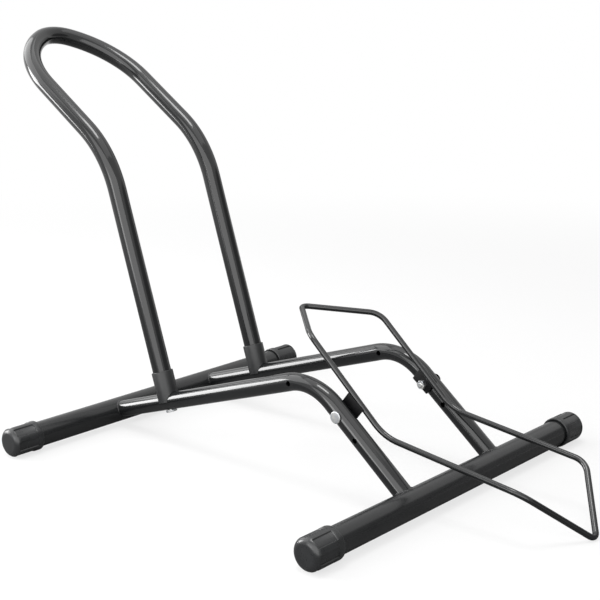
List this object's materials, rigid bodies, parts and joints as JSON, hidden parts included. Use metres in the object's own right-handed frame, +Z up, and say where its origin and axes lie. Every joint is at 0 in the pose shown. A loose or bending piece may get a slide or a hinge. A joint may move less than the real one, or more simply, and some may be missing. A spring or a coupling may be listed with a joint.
{
  "type": "floor bike rack",
  "caption": "Free-standing floor rack that holds a bicycle upright by one wheel: capped cross tubes, bent side tubes, tall hoop and a tipping wire cradle.",
  "frame": {"origin": "on the floor, under the middle of the whole rack's box", "axes": "+Z up, +Y the way the wheel rolls in (towards the hoop), X across the rack; metres"},
  "size_m": [0.527, 0.9012, 0.5212],
  "materials": {
    "tube_paint": "glossy black powder coat on steel tube",
    "wire_paint": "satin-gloss black powder coat on round wire",
    "plate_paint": "satin black paint on cut plate",
    "cap_rubber": "matt black moulded rubber",
    "sleeve_plastic": "satin black moulded plastic",
    "zinc": "bright zinc plated steel"
  },
  "bodies": {
    "frame": {"front_cross_tube": "tube_paint", "rear_cross_tube": "tube_paint", "hoop": "tube_paint", "front_cap_left": "cap_rubber", "rear_cap_left": "cap_rubber", "side_tube_left": "tube_paint", "hoop_socket_left": "sleeve_plastic", "hoop_insert_left": "zinc", "hoop_bolt_left": "zinc", "pivot_bolt_left": "zinc", "pivot_washer_left": "zinc", "pivot_nut_left": "zinc", "front_cap_right": "cap_rubber", "rear_cap_right": "cap_rubber", "side_tube_right": "tube_paint", "hoop_socket_right": "sleeve_plastic", "hoop_insert_right": "zinc", "hoop_bolt_right": "zinc", "pivot_bolt_right": "zinc", "pivot_washer_right": "zinc", "pivot_nut_right": "zinc"},
    "rocker": {"rocker_wire": "wire_paint", "rocker_plate_left": "plate_paint", "rocker_plate_right": "plate_paint"}
  },
  "joints": [
    {"name": "rocker_pivot", "type": "hinge", "parent": "frame", "child": "rocker", "pos_m": [0, -0.16886, 0.09939], "axis": [-1, 0, 0], "range_deg": [0, 70.5]}
  ]
}
